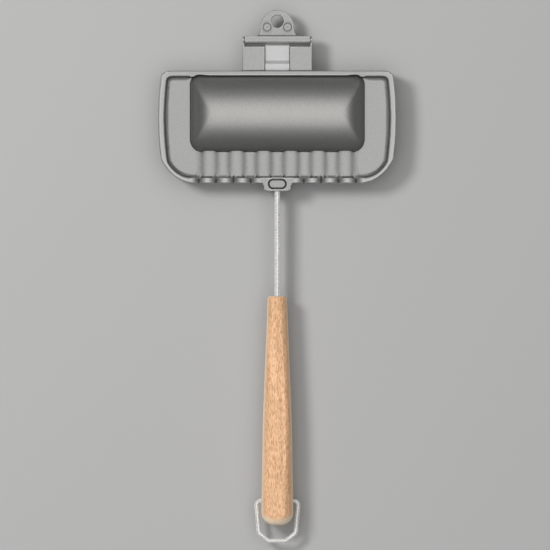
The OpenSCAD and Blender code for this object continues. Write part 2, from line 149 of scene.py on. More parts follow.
def move_corners(piece, points):
    piece.data.vertices.foreach_set("co", (points * MM).astype(np.float32).ravel())
    piece.data.update()


def keep_on_points(piece, name, values):
    """Keeps a value or a direction for each point with the mesh."""
    vectors = values.ndim > 1
    kept = piece.data.attributes.new(name, "FLOAT_VECTOR" if vectors else "FLOAT", "POINT")
    kept.data.foreach_set("vector" if vectors else "value", values.astype(np.float32).ravel())


# %% [markdown]
# ## The two cast pans
# The real pans are pressure-cast aluminium with a thin non-stick coat. Such a
# casting has no sharp edge anywhere: metal flows round every corner of the
# mould, and the coat rounds it once more. Bevelling hundreds of edges one by
# one breaks where small faces meet. So the copy is re-meshed in fine even
# cells and then relaxed, which rounds all its edges at once, as the coat does.
#
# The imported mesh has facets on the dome, which even cells would keep. Before
# the relaxing, every point of the dome is therefore set on the true curve:
# a crest arc with two flank arcs across, and rounded ends along. Towards its
# ends the crest of the real dome sinks a little, and so it does here.

# %% The curve of the dome
BAND = 3.5              # height of the band over the parting plane
RISE = 15.5             # height of the crest over the band
WALL = 2.5
FLANK_R, FLANK_SLOPE = 18.0, math.radians(69)
DOME_HALF_LENGTH, DOME_HALF_WIDTH, END_R = 63.2, 28.1, 16.0
flank_y = DOME_HALF_WIDTH - FLANK_R * math.sin(FLANK_SLOPE)
flank_z = -FLANK_R * math.cos(FLANK_SLOPE)
crest_r = (flank_y**2 + (RISE - flank_z) ** 2 - FLANK_R**2) / (2 * (RISE - flank_z - FLANK_R))
crest_z = RISE - crest_r
arc_end = math.asin(flank_y / (crest_r - FLANK_R))
end_x = DOME_HALF_LENGTH - math.sqrt(END_R**2 - (RISE - END_R) ** 2)


def arc_height(radius, away):
    return np.sqrt(np.clip(radius**2 - away**2, 0, None))


def height_across(y, inset):
    y = np.abs(y)
    crest = crest_z + arc_height(crest_r - inset, y)
    flank = flank_z + arc_height(FLANK_R - inset, y - flank_y)
    return np.where(y < (crest_r - inset) * math.sin(arc_end), crest, flank)


def height_along(x, inset):
    away = np.clip(np.abs(x) - end_x, 0, None)
    return RISE - END_R + arc_height(END_R - inset, away)


print("crest arc:", round(crest_r, 2), "mm, flank arc:", FLANK_R, "mm")


# %% [markdown]
# Where the two profiles cross, the dome has a hip, which a casting rounds off.
# Its corners are turned, with a larger radius at the front. All of it is one
# height over each point of the band, and the slope of that height gives the
# direction in which the surface faces.

# %% The dome as one height
CORNER_FRONT, CORNER_BACK = 9.5, 7.0
DROOP_FROM, DROOP_ON = 42.0, 54.0       # sinks in a curve, then straight on
DROOP_CURVE, DROOP_SLOPE = 0.0042, 0.1
HIP_EASE, HIP_MOST, HIP_FOOT = 0.9, 6.0, 4.0


def softer_min(a, b, ease):
    """The lower of two heights, with the crease between them rounded."""
    mix = np.clip(0.5 + 0.5 * (b - a) / ease, 0, 1)
    return b * (1 - mix) + a * mix - ease * mix * (1 - mix)


def dome_height(x, y, inset):
    """Height of the dome over the band, and of its inner face when inset."""
    corner = np.where(y < 0, CORNER_FRONT, CORNER_BACK)
    dx = np.abs(x) - (DOME_HALF_LENGTH - corner)
    dy = np.abs(y) - (DOME_HALF_WIDTH - corner)
    turned = height_along(DOME_HALF_LENGTH - corner + np.hypot(dx, dy), inset)
    along = np.where((dx > 0) & (dy > 0), turned, height_along(x, inset))
    across = height_across(y, inset)
    curved = np.clip(np.abs(x) - DROOP_FROM, 0, DROOP_ON - DROOP_FROM)
    droop = DROOP_CURVE * curved**2 + DROOP_SLOPE * np.clip(np.abs(x) - DROOP_ON, 0, None)
    across, along = (h - droop * np.clip(h / RISE, 0, 1) for h in (across, along))
    lower = np.minimum(across, along)
    drop = RISE - inset - lower            # no easing at the crest, little at the foot
    ease = np.clip(HIP_EASE * drop, 0.01, HIP_MOST) * np.clip(lower / HIP_FOOT, 0.02, 1)
    return softer_min(across, along, ease)


def dome_surface(x, y, inset):
    """Height of the dome and the direction its surface faces."""
    step = 0.02
    height = dome_height(x, y, inset)
    slope_x = (dome_height(x + step, y, inset) - dome_height(x - step, y, inset)) / (2 * step)
    slope_y = (dome_height(x, y + step, inset) - dome_height(x, y - step, inset)) / (2 * step)
    facing = np.stack([-slope_x, -slope_y, np.ones_like(height)], axis=1)
    return height, facing / np.linalg.norm(facing, axis=1)[:, None]


print("height at the middle of the crest:", float(dome_height(np.zeros(1), np.zeros(1), 0)[0]))


# %% [markdown]
# A point belongs to the dome when it lies close to the curve and faces the
# same way. It then moves along its own direction, so that cells keep their
# even size. The flat strip that the lower pan stands on is left out.

# %% Set points on the dome
REACH = 2.4             # the furthest that a point is moved
SAME_WAY, STEEPEST = 0.7, 0.12
STRIP_TOP = 0.12        # height over the floor up to which the strip reaches


def set_on_dome(points, normals, side):
    """Moves the points that lie near the dome's two faces onto their true curves."""
    x, y = points[:, 0].copy(), points[:, 1].copy()
    up = side * (points[:, 2] - PARTING) - BAND
    for inset, outward in ((0.0, 1), (WALL, -1)):
        height, facing = dome_surface(x, y, inset)
        off = (height - up) * facing[:, 2]
        margin = inset + 0.1
        near = (np.abs(x) < DOME_HALF_LENGTH - margin) & (np.abs(y) < DOME_HALF_WIDTH - margin)
        near &= outward * (facing * normals * (1, 1, side)).sum(axis=1) > SAME_WAY
        near &= (up > 0.4) & (np.abs(off) < REACH) & (facing[:, 2] > STEEPEST)
        if side < 0 and inset == 0:
            near &= points[:, 2] > STRIP_TOP
        for axis, way in enumerate((1, 1, side)):
            points[near, axis] += way * off[near] * facing[near, axis]
        furthest = float(np.abs(off[near]).max())
        print("points set on the dome:", int(near.sum()), "greatest move:", round(furthest, 3))


# %% [markdown]
# ## The rim
# A rim runs round each pan, and its front is crimped into four notches on each
# side of the boss. In the metal they run into each other as one wave. The
# packed notches are plain round cuts, so each point over their foot is moved
# from that outline to the wave. The side walls get a little wider on the
# inside, and a narrow crevice opens between the dome and the wall behind it.

# %% Shape the rim
RIM = 4.0                               # height of the rim over the band
RIM_INSIDE = -45.9                      # the inner face of its front wall, in y
NOTCHES_START = 13.0                    # where the boss ends, in x
NOTCH_FIRST, NOTCH_PITCH, NOTCH_DROP = 19.3, 12.67, 2.9
NOTCH_FOOT, NOTCH_ROUND = 0.9, 0.75
PACKED_R, PACKED_OVER = 3.6, 1.9        # round cuts, and their centres over the rim
SIDE_WALL, SIDE_HALF, WIDER = (68, 86), 60, 0.6
CREVICE_START, BACK_WALL, CREVICE_HALF, CREVICE = 27.4, 30, 60, 0.8


def ramp(values, start, width):
    """0 at start and 1 a width further on; a negative width runs backwards."""
    return np.clip((values - start) / width, 0, 1)


def shape_rim(points, side):
    """Notches in a wave, wider side walls and a crevice behind the dome."""
    x, y = np.abs(points[:, 0]), points[:, 1]
    up = side * (points[:, 2] - PARTING) - BAND
    away = np.full(len(points), 99.0)
    for i in range(4):
        away = np.minimum(away, np.abs(x - NOTCH_FIRST - NOTCH_PITCH * i))
    cut_depth = np.sqrt(np.clip(PACKED_R**2 - away**2, 0, None)) - PACKED_OVER
    packed = RIM - np.clip(cut_depth, 0, None)
    hump = np.sin(np.pi * np.clip(away / NOTCH_PITCH, 0, 0.5)) ** NOTCH_ROUND
    wave = RIM - NOTCH_DROP * (1 - hump)
    notched = (y < RIM_INSIDE) & (up > NOTCH_FOOT) & (x > NOTCHES_START)
    notched &= away < 0.5 * NOTCH_PITCH
    lower = NOTCH_FOOT + (up - NOTCH_FOOT) * (wave - NOTCH_FOOT) / (packed - NOTCH_FOOT)
    points[:, 2] += side * np.where(notched, lower - up, 0)
    at_sides = ramp(x, SIDE_WALL[0], 8) * ramp(x, SIDE_WALL[1], -4) * (np.abs(y) < SIDE_HALF)
    points[:, 0] -= WIDER * np.sign(points[:, 0]) * at_sides
    behind = ramp(y, BACK_WALL, -1.2) * ramp(up, 0.8, 1.5) * ramp(x, CREVICE_HALF, -10)
    points[:, 1] -= np.where(y > CREVICE_START, CREVICE * behind, 0)
    print("points in the notches:", int(notched.sum()))


# %% [markdown]
# The foot of the wall is a fillet, so each point has to know how far it lies
# from that wall. Seen from above, the squares of a fine grid are marked where
# the wall runs, and the mark then grows outwards square by square.

# %% Distance from the rim's inner wall
SQUARE = 0.4
GRID = (520, 420)
WALL_FROM, WALL_TO, DRESSED_FROM = 0.8, 3.4, -0.4       # heights over the band


def off_inner_wall(piece, points, up, reach):
    """Distance in mm from the rim's inner wall, up to reach, on the dressed side."""
    facing = facing_of(piece)
    inward = facing[:, 0] * -points[:, 0] + facing[:, 1] * -points[:, 1]
    off_dome = np.abs(points[:, 0]) > DOME_HALF_LENGTH + 2
    off_dome |= points[:, 1] < -DOME_HALF_WIDTH - 3
    wall = (np.abs(facing[:, 2]) < 0.5) & (inward > 0) & off_dome
    wall &= (up > WALL_FROM) & (up < WALL_TO)
    marked = np.zeros(GRID, bool)
    column, row = (np.floor(points[:, i] / SQUARE + GRID[i] // 2).astype(int) for i in (0, 1))
    marked[column[wall], row[wall]] = True
    away = np.where(marked, 0.0, reach + SQUARE)
    for step in range(1, round(reach / SQUARE) + 1):
        grown = marked.copy()
        grown[1:] |= marked[:-1]
        grown[:-1] |= marked[1:]
        grown[:, 1:] |= marked[:, :-1]
        grown[:, :-1] |= marked[:, 1:]
        away[grown & ~marked] = step * SQUARE
        marked = grown
    return np.where(up > DRESSED_FROM, away[column, row], reach + SQUARE)


# %% [markdown]
# ## Where a corner is soft, and how much
# The ribs are soft waves, the foot of the wall is wider than its crown, and
# the coat fills every corner a little. So each zone is relaxed on its own,
# with a vertex group, for its own number of rounds.

# %% Zones of a pan and their rounds
ROUNDS = {"ribs": 240, "wall": 30, "notches": 6, "rim": 10, "boss": 30, "soft": 2}
BOSS_HALF, BOSS_BACK = 12, -45.5
BOSS_CORNER_X, BOSS_CORNER_Y = (7.8, 13), -52.3
RIBS_HALF, RIBS_BACK, RIBS_FOOT, RIBS_DEPTH = 59, -26, -29.2, 2.6
NOTCHES_END, NOTCHES_BACK = 63, -44.5
BY_WALL, CROWN_FROM = 2.3, 2.2          # off the wall, and over the band


def zones_of(points, up, level, off_wall):
    """A mask over the points for each zone; level marks faces that lie flat."""
    x, y = np.abs(points[:, 0]), points[:, 1]
    on_boss = (x < BOSS_HALF) & (y < BOSS_BACK)
    on_ribs = ((y < RIBS_FOOT) | ((y < RIBS_BACK) & level)) & (y > RIM_INSIDE)
    on_ribs &= (x < RIBS_HALF) & (np.abs(up) < RIBS_DEPTH)
    on_notches = (y < NOTCHES_BACK) & (x > NOTCHES_START) & (x < NOTCHES_END)
    by_wall = (off_wall < BY_WALL) & ~on_ribs
    off_dome = (x > DOME_HALF_LENGTH + 0.5) | (y < -DOME_HALF_WIDTH - 3)
    return {
        "ribs": on_ribs,
        "wall": by_wall & ~on_boss & ~on_notches,
        "notches": by_wall & on_notches,
        "rim": (up > CROWN_FROM) & off_dome & ~on_boss & (y < BACK_WALL),
        "boss": (x > BOSS_CORNER_X[0]) & (x < BOSS_CORNER_X[1]) & (y < BOSS_CORNER_Y),
        "soft": np.ones(len(points), bool),
    }


def relax(piece, zone, chosen, rounds):
    """Rounds off the chosen points of a pan; chosen is a mask over its points."""
    group = piece.vertex_groups.new(name=zone)
    group.add(np.flatnonzero(chosen).tolist(), 1.0, "REPLACE")
    finish_modifier(piece, "SMOOTH", factor=1.0, iterations=rounds, vertex_group=zone)
    print(piece.name, zone, int(chosen.sum()), "points relaxed", rounds, "times")


# %% [markdown]
# ## Marks, painted highlight and painted shade
# The mould's ejectors left two rings with a dimple on the hanging eye. Edges are
# painted lighter as a painted highlight, and corners darker as painted shade.
# How far a point stands out of its surroundings tells one from the other. It is
# measured on the fine mesh and kept with the points, for the coat to read.

# %% Ejector marks, and how far a point stands out
MARK_X, MARK_Y, MARK_R, MARK_REACH = 7.45, 63.1, 2.9, 4.2
MARK_DEPTH, MARK_WIDTH, DIMPLE_DEPTH, DIMPLE_WIDTH = 0.26, 0.40, 0.22, 0.50
EYE_TOP = PARTING - 0.3


def press_marks(points, normals):
    for centre in (-MARK_X, MARK_X):
        away = np.hypot(points[:, 0] - centre, points[:, 1] - MARK_Y)
        face = (away < MARK_REACH) & (np.abs(points[:, 2] - EYE_TOP) < 0.5) & (normals[:, 2] > 0.3)
        ring_mark = MARK_DEPTH * np.exp(-(((away - MARK_R) / MARK_WIDTH) ** 2))
        dimple = DIMPLE_DEPTH * np.exp(-((away / DIMPLE_WIDTH) ** 2))
        points[face, 2] = EYE_TOP - ring_mark[face] - dimple[face]


def standing_out(piece, points, normals):
    """How far each point stands out of its surroundings (+) or lies in them (-)."""
    ends = np.empty(2 * len(piece.data.edges), np.int32)
    piece.data.edges.foreach_get("vertices", ends)
    one, other = ends[0::2], ends[1::2]
    size = len(points)
    count = np.maximum(np.bincount(ends, minlength=size), 1)

    def around(values):
        total = np.bincount(one, values[other], size) + np.bincount(other, values[one], size)
        return total / count

    out = sum(normals[:, i] * (points[:, i] - around(points[:, i])) for i in range(3))
    for _ in range(4):
        out = 0.5 * (out + around(out))
    return out


# %% [markdown]
# A pan of fine cells has about a million triangles. Decimation brings it down
# to what one piece may have. The directions of the fine mesh are kept and set
# on the thinned one, so that light still runs smoothly over it.

# %% Thin a pan out
MOST_TRIANGLES = 190000


def thin_out(piece):
    triangles = 2 * len(piece.data.polygons)
    if triangles > MOST_TRIANGLES:
        finish_modifier(piece, "DECIMATE", ratio=MOST_TRIANGLES / triangles)
    settle(piece, 180)
    normals = np.empty(len(piece.data.vertices) * 3, np.float32)
    piece.data.attributes["fine_normal"].data.foreach_get("vector", normals)
    normals = normals.reshape(-1, 3)
    normals /= np.maximum(np.linalg.norm(normals, axis=1), 1e-6)[:, None]
    piece.data.normals_split_custom_set_from_vertices(normals.tolist())
    piece.data.attributes.remove(piece.data.attributes["fine_normal"])


# %% [markdown]
# All is ready to cast a pan. The lower one is the mirror of the upper one in
# its dressed side, so one function makes both.

# %% Cast a pan
FINE_CELL, QUICK_CELL = 0.36, 0.8
FOOT_RISE, FOOT_WIDTH = 1.2, 2.4        # the fillet at the foot of the wall
CROWN_HIGHLIGHT = 0.03                        # painted highlight added on the crown of the rim
BACK_RIM, SLOT_HALF, BACK_KEPT = (30.2, 36), 9.8, 0.2   # the painted edge highlight and corner shade kept on its back


def cast_pan(node, name, side):
    """side is 1 for the upper half and -1 for the lower, which is its mirror."""
    piece = copy_of(node, name)
    cell = FINE_CELL
    finish_modifier(piece, "REMESH", mode="VOXEL", voxel_size=cell * MM, adaptivity=0)
    points = corners_of(piece)
    set_on_dome(points, facing_of(piece), side)
    shape_rim(points, side)
    move_corners(piece, points)
    up = side * (points[:, 2] - PARTING) - BAND
    off_wall = off_inner_wall(piece, points, up, FOOT_WIDTH)
    foot = (up < 0.5) & (off_wall < 2.2)
    points[foot, 2] += side * FOOT_RISE * (1 - off_wall[foot] / FOOT_WIDTH) ** 2
    move_corners(piece, points)
    level = np.abs(facing_of(piece)[:, 2]) > 0.6
    zones = zones_of(points, up, level, off_wall)
    for zone, rounds in ROUNDS.items():
        relax(piece, zone, zones[zone], max(1, round(rounds * (FINE_CELL / cell) ** 2)))
    piece.vertex_groups.clear()
    if side < 0:
        points = corners_of(piece)
        press_marks(points, facing_of(piece))
        move_corners(piece, points)
    points, normals = corners_of(piece), facing_of(piece)
    # A painted highlight where a point stands out and painted shade where it lies in a corner, with
    # more painted highlight on the crown of the rim and less of both on its back.
    edge_light_corner_shade = standing_out(piece, points, normals) / cell
    edge_light_corner_shade[zones["rim"] & (side * normals[:, 2] > 0.8)] += CROWN_HIGHLIGHT
    on_back = (points[:, 1] > BACK_RIM[0]) & (points[:, 1] < BACK_RIM[1])
    edge_light_corner_shade[on_back & (np.abs(points[:, 0]) > SLOT_HALF)] *= BACK_KEPT
    keep_on_points(piece, "edge_light_corner_shade", edge_light_corner_shade)
    keep_on_points(piece, "fine_normal", normals)
    thin_out(piece)
    return piece


lower_pan = cast_pan("lower_plate", "lower_pan", -1)
upper_pan = cast_pan("upper_plate", "upper_pan", 1)
for pan, body, node in ((lower_pan, "lower_half", "lower_plate"),
                        (upper_pan, "upper_half", "upper_plate")):
    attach(pan, body)
    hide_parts(node)


# %% [markdown]
# ## The plugs on the bosses
# An oval plug closes the well in each boss and bears on the flat of the rod.
# It is small and simple, so here a bevel does what it does best: it takes the
# sharp rim off. The triangles of its flat faces are first dissolved into one
# face each, because a bevel needs clean edges to run along.

# %% Plugs with a broken edge
def eased_copy(node, name, width, angle=40, segments=3):
    piece = copy_of(node, name)
    finish_modifier(piece, "DECIMATE", decimate_type="DISSOLVE", angle_limit=math.radians(1))
    finish_modifier(piece, "BEVEL", width=width * MM, segments=segments,
                    limit_method="ANGLE", angle_limit=math.radians(angle), harden_normals=False)
    settle(piece, 35)
    return piece


for node, body in (("lower_plug", "lower_half"), ("upper_plug", "upper_half")):
    plug = eased_copy(node, "oval_" + node, 0.3)
    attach(plug, body)
    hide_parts(node)


# %% [markdown]
# ## The detent spring
# A strip of stainless steel sits in the recess of the upper leaf. Its foot is
# held in a slot of the rim, and its tip runs just clear of the barrel, so the
# lid stays up once the flat of the barrel has passed it. A sheared strip has
# tiny rounded edges, which catch the light as a thin line.

# %% Spring with rounded edges
spring = eased_copy("detent_spring", "leaf_spring", 0.14, angle=15)
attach(spring, "upper_half")
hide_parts("detent_spring")


# %% [markdown]
# ## Rods and pin
# Rods and pin are cut from drawn bar. Each starts as a cylinder with many
# sides at its true size and place, and its two ends are bevelled as a file
# would break them. The flat under the plug stays out of sight, so it isn't cut.

# %% Round bars
def round_bar(name, radius, start, end, chamfer):
    start, end = Vector(start), Vector(end)
    bpy.ops.object.select_all(action="DESELECT")
    bpy.ops.mesh.primitive_cylinder_add(
        vertices=48, radius=radius * MM, depth=(end - start).length * MM,
        location=(start + end) / 2 * MM, rotation=(end - start).to_track_quat("Z", "Y").to_euler())
    bar = bpy.context.object
    bar.name = bar.data.name = name
    bpy.ops.object.transform_apply(location=True, rotation=True, scale=True)
    finish_modifier(bar, "BEVEL", width=chamfer * MM, segments=3,
                    limit_method="ANGLE", angle_limit=math.radians(60))
    return bar


ROD_R, ROD_OVER = 2.0, 3.85
ROD_NEAR, ROD_FAR = -47.8, -178.4
for side, body, node in ((-1, "lower_half", "lower_rod"), (1, "upper_half", "upper_rod")):
    z = PARTING + side * ROD_OVER
    rod = round_bar("drawn_" + node, ROD_R, (0, ROD_NEAR, z), (0, ROD_FAR, z), 0.3)
    settle(rod, 40)
    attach(rod, body)
    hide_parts(node)


# %% [markdown]
# The hinge pin goes through both ears and the barrel. The lid turns about it,
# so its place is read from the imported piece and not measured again.

# %% Hinge pin
PIN_R, PIN_END = 1.4, 25.3
pin_low, pin_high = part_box("hinge_pin")
pin_y, pin_z = (pin_low.y + pin_high.y) / 2 / MM, (pin_low.z + pin_high.z) / 2 / MM
pin = round_bar("turned_pin", PIN_R, (-PIN_END, pin_y, pin_z), (PIN_END, pin_y, pin_z), 0.35)
settle(pin, 40)
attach(pin, "upper_half")
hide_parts("hinge_pin")


# %% [markdown]
# ## The beech grips
# Each half is a turned blank, sawn flat along the middle and planed on its
# outer face. It is made here in the same order: a profile is spun round the
# axis, two bisect cuts give the flat faces, and a bevel breaks the edges that
# the hand meets. First comes the profile: a rounded neck, a slow swell and a
# round end.

# %% The profile of the blank
GRIP_START, GRIP_LENGTH, GRIP_AXIS, GRIP_GAP = 133.4, 167.1, 1.8, 0.2
NECK_R, WAIST_R, TAIL_R, WAIST_AT, GRIP_END_R = 7.0, 10.7, 11.7, 90.6, 9.5
NECK_TOP, TAIL_TOP, NECK_EASE = 8.4, 12.2, 1.5
SHOULDER = GRIP_LENGTH - GRIP_END_R


def blank_radius(along):
    """Radius of the turned blank, in mm, at a distance from its neck."""
    if along < NECK_EASE:
        return NECK_R - NECK_EASE + math.sqrt(NECK_EASE**2 - (NECK_EASE - along) ** 2)
    if along > SHOULDER:
        return TAIL_R - GRIP_END_R + math.sqrt(max(GRIP_END_R**2 - (along - SHOULDER) ** 2, 0))
    if along > WAIST_AT:
        return WAIST_R + (TAIL_R - WAIST_R) * min((along - WAIST_AT) / (SHOULDER - WAIST_AT), 1)
    return NECK_R + (WAIST_R - NECK_R) * min(along / WAIST_AT, 1)


neck = [NECK_EASE * (1 - math.cos(a * math.pi / 12)) for a in range(6)]
body_of_grip = [2 + i * (SHOULDER - 4) / 30 for i in range(31)]
round_end = [GRIP_LENGTH - GRIP_END_R * (1 - math.sin(a * math.pi / 28)) for a in range(15)]
outline = [(blank_radius(s), s) for s in neck + body_of_grip + round_end]
profile = [(0.0, 0.0)] + outline + [(0.0, GRIP_LENGTH)]
print("profile of the blank:", len(profile), "points")


# %% [markdown]
# Spinning a profile is the lathe, and each bisect is one stroke of the saw or
# the plane: it cuts along a plane, fills the cut and drops the waste.

# %% Spin, saw and plane a grip
def turned_grip(name, side):
    axis_z = PARTING + side * GRIP_AXIS
    bpy.ops.object.select_all(action="DESELECT")
    bpy.ops.mesh.primitive_plane_add(size=1)
    grip = bpy.context.object
    grip.name = grip.data.name = name
    shape = bmesh.new()
    corners = [shape.verts.new((r * MM, -(GRIP_START + s) * MM, axis_z * MM)) for r, s in profile]
    for a, b in zip(corners, corners[1:]):
        shape.edges.new((a, b))
    shape.to_mesh(grip.data)
    shape.free()
    pick(grip)
    bpy.ops.object.mode_set(mode="EDIT")
    bpy.ops.mesh.select_all(action="SELECT")
    bpy.ops.mesh.spin(steps=96, angle=2 * math.pi, center=(0, 0, axis_z * MM), axis=(0, 1, 0))
    bpy.ops.mesh.select_all(action="SELECT")
    bpy.ops.mesh.remove_doubles(threshold=2e-6)
    bpy.ops.mesh.normals_make_consistent(inside=False)
    sawn = (PARTING + side * GRIP_GAP) * MM
    bpy.ops.mesh.bisect(plane_co=(0, 0, sawn), plane_no=(0, 0, side),
                        use_fill=True, clear_inner=True)
    planed = (PARTING + side * NECK_TOP) * MM
    rise = (TAIL_TOP - NECK_TOP) / GRIP_LENGTH
    bpy.ops.mesh.select_all(action="SELECT")
    bpy.ops.mesh.bisect(plane_co=(0, -GRIP_START * MM, planed), plane_no=(0, rise, side),
                        use_fill=True, clear_outer=True)
    bpy.ops.object.mode_set(mode="OBJECT")
    return grip


EDGE_R = 0.8
for side, body, node in ((-1, "lower_half", "lower_grip"), (1, "upper_half", "upper_grip")):
    grip = turned_grip("beech_" + node, side)
    finish_modifier(grip, "BEVEL", width=EDGE_R * MM, segments=4,
                    limit_method="ANGLE", angle_limit=math.radians(24))
    settle(grip, 30)
    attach(grip, body)
    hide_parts(node)


# %% [markdown]
# ## The locking ring
# A length of wire is bent to a long loop with six bends, and its two ends
# spring into the sides of the lower grip. In Blender a curve is the natural
# bent wire: its points are the bends, and its depth is the wire's radius.

# %% The path of the wire
BEND_R = 3.2
half = [(6.7, 0.0), (15.5, 0.0), (13.5, -23.4), (6.2, -29.2)]
path = half + [(-x, y) for x, y in reversed(half)]


def rounded_path(points, radius, steps):
    """The path with each corner replaced by an arc of the bend radius."""
    result = [Vector(points[0])]
    for before, corner, after in zip(points, points[1:], points[2:]):
        before, corner, after = Vector(before), Vector(corner), Vector(after)
        u, w = (corner - before).normalized(), (after - corner).normalized()
        turn = u.angle(w)
        cut = radius * math.tan(turn / 2)
        inward = (w - u).normalized()
        centre = corner + inward * (radius / math.cos(turn / 2))
        a, b = corner - u * cut - centre, corner + w * cut - centre
        for i in range(steps + 1):
            t = i / steps
            arc = (a * math.sin((1 - t) * turn) + b * math.sin(t * turn)) / math.sin(turn)
            result.append(centre + arc)
    result.append(Vector(points[-1]))
    return result


wire_points = rounded_path(path, BEND_R, 8)
print("points along the wire:", len(wire_points))


# %% [markdown]
# The path is laid at the height of the two holes in the lower grip. The curve
# is given the wire's thickness and closed ends, and is then made a mesh, so
# that it can be settled like any other piece.

# %% Bend the wire
WIRE_R = 1.6
PIVOT_Y, PIVOT_Z = -282.9, PARTING - 4.6
bpy.ops.object.select_all(action="DESELECT")
bpy.ops.curve.primitive_nurbs_path_add()
ring = bpy.context.object
ring.name = "bent_ring"
ring.data.splines.clear()
spline = ring.data.splines.new("POLY")
spline.points.add(len(wire_points) - 1)
for point, p in zip(spline.points, wire_points):
    point.co = (p.x * MM, (PIVOT_Y + p.y) * MM, PIVOT_Z * MM, 1)
ring.data.dimensions = "3D"
ring.data.bevel_depth = WIRE_R * MM
ring.data.bevel_resolution = 8
ring.data.use_fill_caps = True
pick(ring)
bpy.ops.object.convert(target="MESH")
ring = bpy.context.object
settle(ring, 50)
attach(ring, "ring")
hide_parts("lock_ring")


# %% [markdown]
# ## Tools for the finishes
# A material is a tree of nodes. A few small tools keep each tree short: one
# puts a node, one joins two sockets, one does sums, and the others make a
# soft passage from one value to another.

# %% Small tools for node trees
def put(tree, kind, at=(0, 0), **settings):
    node = tree.nodes.new(kind)
    node.location = at
    for name, value in settings.items():
        if name in node.inputs:
            node.inputs[name].default_value = value
        else:
            setattr(node, name, value)
    return node


def join(tree, source, target):
    tree.links.new(source, target)


def math_node(tree, operation, a, b=0.0, at=(0, 0), plus=0.0):
    """A sum of two values or sockets; plus is what MULTIPLY_ADD adds."""
    node = put(tree, "ShaderNodeMath", at, operation=operation)
    for socket, value in zip(node.inputs, (a, b, plus)):
        if isinstance(value, (int, float)):
            socket.default_value = value
        else:
            join(tree, value, socket)
    return node.outputs[0]


def passage(tree, source, limits, at):
    """A soft passage; limits are two values of the source and the two results."""
    node = put(tree, "ShaderNodeMapRange", at, interpolation_type="SMOOTHSTEP")
    for label, value in zip(("From Min", "From Max", "To Min", "To Max"), limits):
        node.inputs[label].default_value = value
    join(tree, source, node.inputs["Value"])
    return node.outputs["Result"]


def reaching(tree, source, start, end, at):
    """0 at start and 1 at end, in mm, with a soft passage."""
    return passage(tree, source, (start * MM, end * MM, 0.0, 1.0), at)


def parts_of(tree, label, at):
    """The x, y and z of the piece's own coordinates or of its normal."""
    coords = put(tree, "ShaderNodeTexCoord", at)
    parts = put(tree, "ShaderNodeSeparateXYZ", (at[0] + 200, at[1]))
    join(tree, coords.outputs[label], parts.inputs[0])
    return parts.outputs


def colour_ramp(tree, source, stops, at, interpolation="LINEAR"):
    """A colour ramp from (position, colour) stops."""
    node = put(tree, "ShaderNodeValToRGB", at)
    node.color_ramp.interpolation = interpolation
    elements = node.color_ramp.elements
    elements[0].position, elements[1].position = stops[0][0], stops[1][0]
    for position, _ in stops[2:]:
        elements.new(position)
    for element, (_, colour) in zip(elements, stops):
        element.color = (*colour, 1)
    join(tree, source, node.inputs[0])
    return node.outputs[0]


def mixed(tree, factor, first, second, at, blend="MIX"):
    """Two colours, each a value or a socket, blended by a factor."""
    node = put(tree, "ShaderNodeMix", at, data_type="RGBA", blend_type=blend)
    join(tree, factor, node.inputs[0])
    for socket, colour in ((node.inputs[6], first), (node.inputs[7], second)):
        if isinstance(colour, tuple):
            socket.default_value = (*colour, 1)
        else:
            join(tree, colour, socket)
    return node.outputs[2]


# %% [markdown]
# ## Shared effects
# Several finishes need the same two effects, so each is built once as a node
# group with its own inputs. Speckle is the first: two noises on the object's
# own coordinates, one as fine as the grains of a sprayed coat and one as broad
# as a hand.

# %% Speckle group
def new_group(name, inputs, outputs):
    """A node group; inputs are (name, value) and outputs are (name, socket type)."""
    group = bpy.data.node_groups.new(name, "ShaderNodeTree")
    for label, value in inputs:
        socket = group.interface.new_socket(label, in_out="INPUT", socket_type="NodeSocketFloat")
        socket.default_value = value
    for label, kind in outputs:
        group.interface.new_socket(label, in_out="OUTPUT", socket_type=kind)
    print("group:", name, [label for label, _ in inputs])
    return group, put(group, "NodeGroupInput", (-900, 0)), put(group, "NodeGroupOutput", (700, 0))


BOTH_OUT = [("Value", "NodeSocketFloat"), ("Height", "NodeSocketFloat")]
speckle, speckle_in, speckle_out = new_group(
    "speckle", [("Grain Scale", 1400.0), ("Cloud Scale", 25.0), ("Grain", 0.5), ("Cloud", 0.5)],
    BOTH_OUT)
coords = put(speckle, "ShaderNodeTexCoord", (-900, -300))
grain = put(speckle, "ShaderNodeTexNoise", (-600, 100), Detail=2.0, Roughness=0.6)
cloud = put(speckle, "ShaderNodeTexNoise", (-600, -200), Detail=3.0, Roughness=0.5)
for noise, scale in ((grain, "Grain Scale"), (cloud, "Cloud Scale")):
    join(speckle, coords.outputs["Object"], noise.inputs["Vector"])
    join(speckle, speckle_in.outputs[scale], noise.inputs["Scale"])
fine = math_node(speckle, "SUBTRACT", grain.outputs["Fac"], 0.5, (-350, 100))
broad = math_node(speckle, "SUBTRACT", cloud.outputs["Fac"], 0.5, (-350, -200))
fine = math_node(speckle, "MULTIPLY", fine, speckle_in.outputs["Grain"], (-150, 100))
broad = math_node(speckle, "MULTIPLY", broad, speckle_in.outputs["Cloud"], (-150, -200))
total = math_node(speckle, "ADD", fine, broad, (50, 0))
join(speckle, math_node(speckle, "ADD", total, 1.0, (250, 0)), speckle_out.inputs["Value"])
join(speckle, grain.outputs["Fac"], speckle_out.inputs["Height"])


# %% [markdown]
# Drawn grain: a noise stretched along Y, the way the wire went through its
# die. The same group serves the rods, the ring and the rolled strip.

